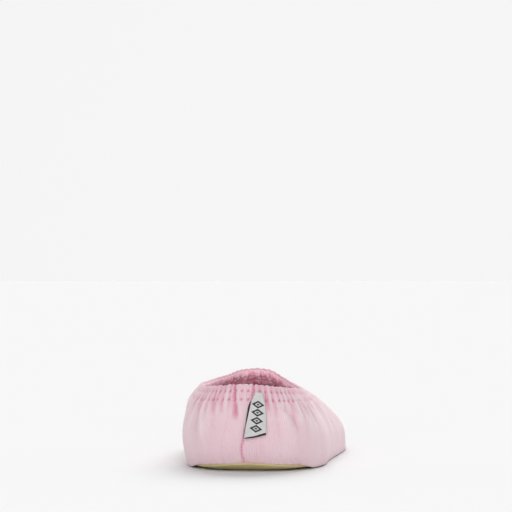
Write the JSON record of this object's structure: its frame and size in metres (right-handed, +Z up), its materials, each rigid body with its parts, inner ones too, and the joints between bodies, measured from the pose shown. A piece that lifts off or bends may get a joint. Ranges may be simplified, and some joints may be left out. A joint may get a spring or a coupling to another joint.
{
  "type": "ballet slipper",
  "caption": "Child's soft ballet slipper: cotton upper, elasticated gathered collar, suede full sole, sewn-in back label.",
  "frame": {"origin": "on the floor, under the middle of the slipper's box", "axes": "+Y to the toe, +X to the outer side of the right foot, +Z up"},
  "size_m": [0.0785, 0.2044, 0.042],
  "materials": {
    "cotton_canvas": "matte cotton weave",
    "cotton_lining": "brushed cotton",
    "facing_tape": "gathered cotton tape",
    "elastic": "braided elastic",
    "suede": "napped suede",
    "foam": "soft foam",
    "cotton_sock": "matte cotton",
    "seam_tape": "twill tape",
    "pink_thread": "spun thread",
    "sole_thread": "waxed thread",
    "label_satin": "woven satin"
  },
  "bodies": {
    "root": {"upper": "cotton_canvas", "upper_lining": "cotton_lining", "topline_facing": "facing_tape", "elastic_band": "elastic", "elastic_join": "elastic", "outsole": "suede", "insole_foam": "foam", "insole_sock": "cotton_sock", "heel_seam_tape": "seam_tape", "topline_stitch_upper": "pink_thread", "topline_stitch_lower": "pink_thread", "back_seam_stitch": "pink_thread", "allowance_stitch": "pink_thread", "sole_seam_stitch": "sole_thread"},
    "label": {"label": "label_satin"}
  },
  "joints": [
    {"name": "label_swing", "type": "hinge", "parent": "root", "child": "label", "pos_m": [0.00116, -0.09896, 0.03719], "axis": [0.1297, 0.1504, 0.9801], "range_deg": [-165, 0]}
  ]
}
